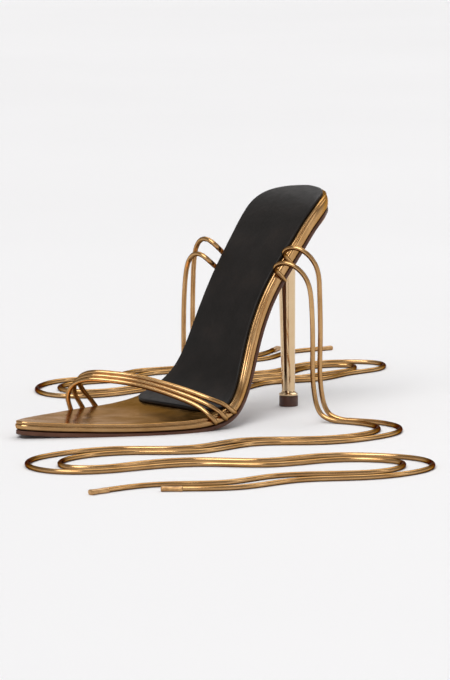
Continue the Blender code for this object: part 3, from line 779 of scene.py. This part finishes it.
STRAP_CORD_DIAMETER = 2.7 * MM
STRAP_RISE = 26.0 * MM
STRAP_FAN = 8.6 * MM
STRAP_SIDES = 32
STRAP_STEPS = 150
SEAM_DEPTH = 0.14 * MM
UNDER_TOES = Vector((-95.0 * MM, -3.0 * MM, 0.0))
CORD_AT_GRAZING = (0.12, 0.06, 0.025)

# Middle cord, outer side to inner side: share of the sole's length from the toe tip,
# share of the way across, share of the rise over the board's top or, below zero, of its
# thickness under the top, distance between cords as a share of the fan, slope in degrees
# of the row of cords, share of the cord's diameter.
STRAP_ROWS = (
    (0.496, -0.986, -0.92, 0.92, 4.0, 0.34),
    (0.494, -0.996, -0.80, 0.91, 4.0, 0.66),
    (0.489, -1.000, -0.55, 0.86, 6.0, 1.00),
    (0.476, -0.995, 0.02, 0.72, 14.0, 1.00),
    (0.453, -0.880, 0.23, 0.48, 30.0, 1.00),
    (0.425, -0.590, 0.44, 0.34, 44.0, 1.00),
    (0.395, -0.240, 0.60, 0.29, 48.0, 1.00),
    (0.366, 0.100, 0.70, 0.29, 48.0, 1.00),
    (0.329, 0.420, 0.75, 0.29, 46.0, 1.00),
    (0.302, 0.680, 0.73, 0.32, 42.0, 1.00),
    (0.297, 0.890, 0.57, 0.44, 32.0, 1.00),
    (0.312, 0.990, 0.30, 0.68, 18.0, 1.00),
    (0.336, 1.000, 0.02, 0.95, 6.0, 1.00),
    (0.346, 1.000, -0.55, 1.08, 2.0, 1.00),
    (0.350, 0.996, -0.80, 1.12, 0.0, 0.66),
    (0.351, 0.986, -0.92, 1.13, 0.0, 0.34),
)


def strap_point(row, place):
    """Centre and radius of one strap cord for a row of the strap's table."""
    along, side, rise, fan, slope, girth = row
    slope = math.radians(slope)
    shift = place * fan * STRAP_FAN
    run = run_at_x(x_at_share(along) + shift * math.cos(slope))
    radius = girth * STRAP_CORD_DIAMETER / 2.0
    low, high = edges_at(run)
    low -= GLUE_LINE + radius
    high += GLUE_LINE + radius
    across = low + (high - low) * (side + 1.0) / 2.0
    board = board_at(run)
    if rise < 0.0:
        lift = board * (1.0 + rise)
    else:
        lift = board + rise * STRAP_RISE + shift * math.sin(slope)
    return on_sole(run, across, lift), radius


def rolled_cord(centres, radii, inward, sides):
    """Skin of a round cord: points and faces, with its seam toward the inward side."""
    count = len(centres)
    points = []
    for n, (centre, radius) in enumerate(zip(centres, radii)):
        along = (centres[min(n + 1, count - 1)] - centres[max(n - 1, 0)]).normalized()
        seam = (inward[n] - along * inward[n].dot(along)).normalized()
        across = along.cross(seam)
        for i in range(sides):
            angle = 2.0 * math.pi * i / sides
            reach = radius - (SEAM_DEPTH if i == 0 else 0.0)
            points.append(centre + (seam * math.cos(angle) + across * math.sin(angle)) * reach)
    ends = [tuple(range(sides)), tuple(range((count - 1) * sides, count * sides))]
    return points, ends + faces_between(count, sides)


def cord_foil(name):
    """Gold leather rolled round a core, whose stretched foil shines less at its rims."""
    material = gold_leather(name, dent_size=12.0 * MM, dent_depth=0.2 * MM)
    shader = material.node_tree.nodes["Principled BSDF"]
    shader.inputs["Specular Tint"].default_value = (*CORD_AT_GRAZING, 1.0)
    return material


def make_toe_strap(material):
    """The three cords of the strap as one piece."""
    points = []
    faces = []
    for place in (-1, 0, 1):
        rows = [strap_point(row, place) for row in STRAP_ROWS]
        values = np.array([(*centre, radius) for centre, radius in rows])
        knots = distance_along(values[:, :3])
        value_at = flexible_curve(knots, values)
        steps = [value_at(knots[-1] * n / STRAP_STEPS) for n in range(STRAP_STEPS + 1)]
        centres = [Vector(step[:3]) for step in steps]
        radii = [step[3] for step in steps]
        inward = [UNDER_TOES - centre for centre in centres]
        cord_points, cord_faces = rolled_cord(centres, radii, inward, STRAP_SIDES)
        faces += [tuple(len(points) + corner for corner in face) for face in cord_faces]
        points += cord_points
    points = [point + FRAME_SHIFT for point in points]
    return shoe_piece("toe_strap_cords", points, faces, material, crisp=75.0)


cord_leather = cord_foil("cord_gold")
toe_strap = make_toe_strap(cord_leather)
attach(toe_strap, "root")
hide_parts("toe_strap")


# Ties
# The real pieces are four long, limp cords of the same rolled gold leather, two lasted
# in under each side of the arch in front of the heel. Each comes up over the edge of
# the sole, bends over and hangs down to the floor, where it lies in loose curves.

TIE_DIAMETER = 2.7 * MM
TIE_SIDES = 20
TIE_STEP = 1.3 * MM
TIE_START_GIRTHS = (0.60, 0.74, 1.0)
SEAM_START = Vector((0.0, 0.0, -1.0))
SEAM_SPARE = Vector((0.3, 1.0, 0.2))
SEAM_LEAST = 0.2

# Points that each tie passes, in metres, from the edge of the sole to its free end. The
# seventh is the highest and the fourteenth is the first on the floor.
TIE_ROUTES = {
    "outer_rear": (
        (0.0588, -0.03035, 0.083), (0.0569, -0.03055, 0.0847), (0.0546, -0.031, 0.0867),
        (0.0516, -0.03115, 0.0893), (0.049, -0.0326, 0.0919), (0.0486, -0.0364, 0.0946),
        (0.0506, -0.0416, 0.095), (0.054, -0.0464, 0.0916), (0.057, -0.0498, 0.085),
        (0.0582, -0.0512, 0.072), (0.0585, -0.0516, 0.045), (0.059, -0.0526, 0.014),
        (0.0606, -0.0566, 0.0044), (0.0645, -0.065, 0.00135), (0.07, -0.077, 0.00135),
        (0.072, -0.092, 0.00135), (0.066, -0.106, 0.00135), (0.052, -0.116, 0.00135),
        (0.034, -0.119, 0.00135), (0.002, -0.112, 0.00135), (-0.028, -0.091, 0.00135),
        (-0.065, -0.09, 0.00135), (-0.095, -0.068, 0.00135), (-0.122, -0.06, 0.00135),
        (-0.142, -0.067, 0.00135), (-0.149, -0.08, 0.00135), (-0.139, -0.092, 0.00135),
        (-0.116, -0.097, 0.00135), (-0.085, -0.109, 0.00135), (-0.061, -0.134, 0.00135),
        (-0.028, -0.143, 0.00135), (-0.006, -0.164, 0.00135), (0.001, -0.186, 0.00135),
        (-0.01, -0.205, 0.00135), (-0.034, -0.212, 0.00135), (-0.06, -0.206, 0.00135),
        (-0.09, -0.189, 0.00135), (-0.124, -0.185, 0.00135), (-0.15, -0.168, 0.00135),
    ),
    "outer_front": (
        (0.0529, -0.03005, 0.0759), (0.0509, -0.0302, 0.0774), (0.0485, -0.03065, 0.0792),
        (0.0454, -0.0308, 0.0816), (0.0428, -0.0322, 0.084), (0.0423, -0.0358, 0.0866),
        (0.0442, -0.0412, 0.087), (0.0476, -0.0462, 0.0837), (0.0506, -0.0496, 0.0772),
        (0.0519, -0.0514, 0.065), (0.0523, -0.052, 0.042), (0.0529, -0.0532, 0.014),
        (0.0544, -0.0572, 0.0044), (0.058, -0.0655, 0.00135), (0.062, -0.078, 0.00135),
        (0.061, -0.092, 0.00135), (0.053, -0.102, 0.00135), (0.038, -0.107, 0.00135),
        (0.006, -0.099, 0.00135), (-0.025, -0.078, 0.00135), (-0.062, -0.077, 0.00135),
        (-0.092, -0.054, 0.00135), (-0.124, -0.046, 0.00135), (-0.148, -0.051, 0.00135),
        (-0.162, -0.066, 0.00135), (-0.163, -0.085, 0.00135), (-0.149, -0.1, 0.00135),
        (-0.122, -0.108, 0.00135), (-0.092, -0.121, 0.00135), (-0.068, -0.146, 0.00135),
        (-0.036, -0.156, 0.00135), (-0.018, -0.171, 0.00135), (-0.014, -0.186, 0.00135),
        (-0.026, -0.197, 0.00135), (-0.046, -0.197, 0.00135), (-0.067, -0.184, 0.00135),
        (-0.09, -0.172, 0.00135), (-0.122, -0.169, 0.00135), (-0.15, -0.151, 0.00135),
        (-0.18, -0.146, 0.00135),
    ),
    "inner_rear": (
        (0.0588, 0.02155, 0.083), (0.0569, 0.0218, 0.0847), (0.0546, 0.02225, 0.0867),
        (0.0516, 0.0224, 0.0893), (0.0492, 0.0236, 0.0919), (0.0479, 0.027, 0.0942),
        (0.0474, 0.032, 0.0944), (0.0476, 0.0366, 0.0906), (0.0479, 0.0392, 0.0835),
        (0.048, 0.0404, 0.07), (0.0481, 0.0409, 0.044), (0.0486, 0.0422, 0.014),
        (0.0508, 0.0468, 0.0044), (0.0565, 0.0545, 0.00135), (0.07, 0.061, 0.00135),
        (0.098, 0.058, 0.00135), (0.13, 0.066, 0.00135), (0.162, 0.057, 0.00135),
        (0.194, 0.062, 0.00135), (0.22, 0.064, 0.00135), (0.235, 0.08, 0.00135),
        (0.225, 0.098, 0.00135), (0.194, 0.106, 0.00135), (0.16, 0.098, 0.00135),
        (0.13, 0.105, 0.00135), (0.1, 0.097, 0.00135), (0.068, 0.105, 0.00135),
        (0.041, 0.106, 0.00135), (0.025, 0.117, 0.00135), (0.028, 0.133, 0.00135),
        (0.048, 0.14, 0.00135), (0.076, 0.134, 0.00135), (0.106, 0.141, 0.00135),
        (0.136, 0.134, 0.00135), (0.166, 0.145, 0.00135), (0.198, 0.141, 0.00135),
        (0.226, 0.151, 0.00135), (0.252, 0.15, 0.00135),
    ),
    "inner_front": (
        (0.0529, 0.02065, 0.0759), (0.0509, 0.0209, 0.0774), (0.0485, 0.0213, 0.0792),
        (0.0454, 0.0215, 0.0816), (0.0429, 0.0227, 0.0841), (0.0415, 0.026, 0.0864),
        (0.0409, 0.031, 0.0866), (0.0409, 0.0358, 0.0829), (0.0411, 0.0386, 0.076),
        (0.0412, 0.0402, 0.064), (0.0413, 0.041, 0.042), (0.0416, 0.0428, 0.014),
        (0.0432, 0.0478, 0.0044), (0.0475, 0.057, 0.00135), (0.06, 0.068, 0.00135),
        (0.082, 0.071, 0.00135), (0.102, 0.07, 0.00135), (0.13, 0.078, 0.00135),
        (0.16, 0.07, 0.00135), (0.184, 0.07, 0.00135), (0.204, 0.072, 0.00135),
        (0.215, 0.083, 0.00135), (0.204, 0.094, 0.00135), (0.184, 0.094, 0.00135),
        (0.16, 0.086, 0.00135), (0.13, 0.093, 0.00135), (0.1, 0.085, 0.00135),
        (0.07, 0.093, 0.00135), (0.04, 0.093, 0.00135), (0.017, 0.099, 0.00135),
        (0.007, 0.113, 0.00135), (0.011, 0.132, 0.00135), (0.027, 0.148, 0.00135),
        (0.051, 0.154, 0.00135), (0.078, 0.147, 0.00135), (0.108, 0.154, 0.00135),
        (0.138, 0.147, 0.00135), (0.168, 0.159, 0.00135), (0.2, 0.155, 0.00135),
        (0.228, 0.165, 0.00135),
    ),
}


def tie_line(name):
    """Smooth line of a tie through its route, and its girth at each point."""
    route = np.array(TIE_ROUTES[name])
    knots = distance_along(route)
    free = flexible_curve(knots, route)
    places = np.linspace(0.0, knots[-1], int(knots[-1] / TIE_STEP) + 1)
    line = [Vector(free(place)) for place in places]
    for point in line:
        point.z = max(point.z, TIE_DIAMETER / 2.0)
    girths = np.interp(places, knots[:len(TIE_START_GIRTHS)], TIE_START_GIRTHS)
    return line, girths


def carried_seam(line):
    """Direction of the seam along a line: it turns as little as the line lets it."""
    side = SEAM_START
    turned = []
    count = len(line)
    for n in range(count):
        along = (line[min(n + 1, count - 1)] - line[max(n - 1, 0)]).normalized()
        side = side - along * side.dot(along)
        if side.length < SEAM_LEAST:
            side = SEAM_SPARE.cross(along)
        side.normalize()
        turned.append(side.copy())
    return turned


def make_tie(name, material):
    """One tie as a cord with its seam, and the line it follows."""
    line, girths = tie_line(name)
    radii = [girth * TIE_DIAMETER / 2.0 for girth in girths]
    points, faces = rolled_cord(line, radii, carried_seam(line), TIE_SIDES)
    return shoe_piece("tie_cord_" + name, points, faces, material, crisp=75.0), line


# Tie ends
# The real pieces are four flat sleeves of browner gold leather, each folded round the
# end of a tie, glued and pressed, so the end can't unroll. A folded edge runs down one
# side and the pressed ends are a little thinner.

TAB_LENGTH = 11.0 * MM
TAB_LAP = 1.0 * MM
TAB_WIDTH = 4.2 * MM
TAB_ROUND = 0.5 * MM
TAB_ROUND_STEPS = 5
TAB_END_THINNING = 0.35
TAB_WAIST = 0.10
TAB_WAIST_ROWS = (0.12, 0.88, 17)
TAB_WIDE_POWER = 0.7
TAB_TALL_POWER = 0.8
TAB_SIDES = 40
FOLD_SIDE = 6
FOLD_DEPTH = 0.16 * MM
SLEEVE_LIGHT = (0.66, 0.42, 0.19)
SLEEVE_GOLD = (0.52, 0.30, 0.13)
SLEEVE_DARK = (0.36, 0.19, 0.08)


def tab_leather():
    """Browner gold leather, duller than the cords, creased by the press."""
    material, tree, shader, place = finish_nodes("tab_gold_leather", SLEEVE_GOLD, 0.34, 1.0)
    patch = speckle(tree, place, size=3.0 * MM, detail=5.0)
    print_of_skin = speckle(tree, place, size=0.4 * MM, detail=4.0)
    shade_by(tree, patch, shader, SLEEVE_DARK, SLEEVE_GOLD, SLEEVE_LIGHT)
    gloss_by(tree, print_of_skin, shader, low=0.28, high=0.45)
    relief(tree, shader, ((patch, 0.12 * MM), (print_of_skin, 0.03 * MM)))
    return material


def tab_rows():
    """The sleeve from end to end: distance and share of its full width and height."""
    end = []
    for n in range(TAB_ROUND_STEPS + 1):
        turn = 0.5 * math.pi * n / TAB_ROUND_STEPS
        size = 1.0 - TAB_END_THINNING * (1.0 - math.sin(turn))
        end.append((TAB_ROUND * (1.0 - math.cos(turn)), size))
    rows = [(0.0, 0.0)] + end
    for share in np.linspace(*TAB_WAIST_ROWS):
        waist = TAB_WAIST * math.sin(math.pi * share) ** 2
        rows.append((TAB_LENGTH * share, 1.0 - waist))
    rows += [(TAB_LENGTH - distance, size) for distance, size in reversed(end)]
    return rows + [(TAB_LENGTH, 0.0)]


def squared(value, power):
    """A sine or cosine drawn outward, which turns a circle into a soft oblong."""
    return math.copysign(abs(value) ** power, value)


def make_tab(name, line, material):
    """Pressed sleeve past the end of a tie, lying on the floor."""
    ahead = (line[-1] - line[-2]).normalized()
    across = Vector((-ahead.y, ahead.x, 0.0))
    start = line[-1] - ahead * TAB_LAP
    rows = tab_rows()
    points = []
    for distance, size in rows:
        for i in range(TAB_SIDES):
            angle = 2.0 * math.pi * i / TAB_SIDES
            wide = squared(math.cos(angle), TAB_WIDE_POWER) * TAB_WIDTH / 2.0
            tall = squared(math.sin(angle), TAB_TALL_POWER) * TIE_DIAMETER / 2.0
            if i == FOLD_SIDE:
                tall -= FOLD_DEPTH
            place = start + ahead * distance + across * wide * size
            points.append(place + Vector((0.0, 0.0, tall * size)))
    faces = faces_between(len(rows), TAB_SIDES)
    return shoe_piece("tie_end_" + name, points, faces, material, crisp=60.0)


sleeve = tab_leather()
for name in TIE_ROUTES:
    tie, line = make_tie(name, cord_leather)
    tab = make_tab(name, line, sleeve)
    for piece, node, finish in ((tie, "tie_" + name, "tie_gold"), (tab, "tab_" + name, "tab_gold")):
        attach(piece, "root")
        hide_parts(node)


# Studio
# A wide floor in matt white paint in a grey room that is pale near the floor. A broad
# soft light from the toe and another from the heel light the floor evenly, and a tall
# panel off the outer side of the heel adds highlights to the gold.

FLOOR_RINGS = (0.6, 1.5, 4.0, 16.0)
FLOOR_SIDES = 64
FLOOR_LIGHT = (0.89, 0.89, 0.90)
FLOOR_WHITE = (0.88, 0.88, 0.89)
FLOOR_DARK = (0.87, 0.87, 0.88)
WALL_GREY = (0.34, 0.33, 0.33)
WALL_HEIGHT = 0.30
CEILING_GREY = (0.30, 0.29, 0.28)


def studio_floor():
    """Matt white floor paint, very slightly uneven."""
    material, tree, shader, place = finish_nodes("studio_floor_paint", FLOOR_WHITE, 0.8, 0.0)
    shader.inputs["Specular IOR Level"].default_value = 0.05
    patch = speckle(tree, place, size=0.6, detail=3.0)
    grain = speckle(tree, place, size=2.0 * MM, detail=3.0)
    shade_by(tree, patch, shader, FLOOR_DARK, FLOOR_WHITE, FLOOR_LIGHT)
    gloss_by(tree, patch, shader, low=0.75, high=0.85)
    relief(tree, shader, ((grain, 0.02 * MM),))
    return material


def make_floor():
    """Round floor under the shoe."""
    points = []
    for reach in FLOOR_RINGS:
        for i in range(FLOOR_SIDES):
            angle = 2.0 * math.pi * i / FLOOR_SIDES
            points.append((reach * math.cos(angle), reach * math.sin(angle), 0.0))
    faces = [tuple(range(FLOOR_SIDES))] + faces_between(len(FLOOR_RINGS), FLOOR_SIDES)
    return shoe_piece("studio_floor", points, faces, studio_floor())


make_floor()


def hang_lamp(light, place, direction):
    """The light as a lamp at a place, turned to shine in a direction."""
    lamp = bpy.data.objects.new(light.name, light)
    lamp.location = place
    lamp.rotation_mode = "QUATERNION"
    lamp.rotation_quaternion = Vector(direction).to_track_quat("-Z", "Y")
    bpy.context.scene.collection.objects.link(lamp)


def tall_panel(name, place, direction, size, power):
    """Rectangular soft light."""
    light = bpy.data.lights.new(name, "AREA")
    light.shape = "RECTANGLE"
    light.size, light.size_y = size
    light.energy = power
    hang_lamp(light, place, direction)


def broad_light(name, direction, spread, power):
    """Large soft light far away, so that the whole floor is lit alike."""
    light = bpy.data.lights.new(name, "SUN")
    light.energy = power
    light.angle = math.radians(spread)
    hang_lamp(light, (0.0, 0.0, 0.0), direction)


tall_panel(
    "side_light", place=(1.2, -1.9, 1.1), direction=(-1.2, 1.9, -1.05), size=(0.5, 1.8), power=4.0
)
broad_light("key_light", direction=(0.75, 0.35, -1.0), spread=40.0, power=1.75)
broad_light("fill_light", direction=(-0.8, -0.45, -1.3), spread=50.0, power=1.0)

room = bpy.data.worlds.new("studio_room")
room.use_nodes = True
bpy.context.scene.world = room
room_nodes = room.node_tree.nodes
room_links = room.node_tree.links
room_place = room_nodes.new("ShaderNodeTexCoord")
room_height = room_nodes.new("ShaderNodeSeparateXYZ")
room_ramp = room_nodes.new("ShaderNodeValToRGB")
floor_line, ceiling = room_ramp.color_ramp.elements
floor_line.position, floor_line.color = 0.0, (*FLOOR_WHITE, 1.0)
ceiling.position, ceiling.color = 1.0, (*CEILING_GREY, 1.0)
wall = room_ramp.color_ramp.elements.new(WALL_HEIGHT)
wall.color = (*WALL_GREY, 1.0)
room_links.new(room_place.outputs["Generated"], room_height.inputs["Vector"])
room_links.new(room_height.outputs["Z"], room_ramp.inputs["Fac"])
room_links.new(room_ramp.outputs["Color"], room_nodes["Background"].inputs["Color"])
bpy.context.scene.view_settings.view_transform = "Standard"


# Camera
# It stands where the photograph's stood, low in front of the outer side of the toe, and
# is turned so that the shoe and its ties fill the upright picture.

CAMERA_PLACE = Vector((-1.4911, -1.6507, 0.3467))
CAMERA_AIM = Vector((0.6727, 0.7276, -0.1344))
CAMERA_LENS = 217.0
CAMERA_SENSOR = 36.0
CAMERA_NEAR = 0.05
CAMERA_FAR = 60.0

camera_body = bpy.data.cameras.new("portrait_camera")
camera_body.sensor_width = CAMERA_SENSOR
camera_body.lens = CAMERA_LENS
camera_body.clip_start = CAMERA_NEAR
camera_body.clip_end = CAMERA_FAR
camera = bpy.data.objects.new("portrait_camera", camera_body)
camera.location = CAMERA_PLACE
camera.rotation_mode = "QUATERNION"
camera.rotation_quaternion = CAMERA_AIM.to_track_quat("-Z", "Y")
bpy.context.scene.collection.objects.link(camera)
bpy.context.scene.camera = camera
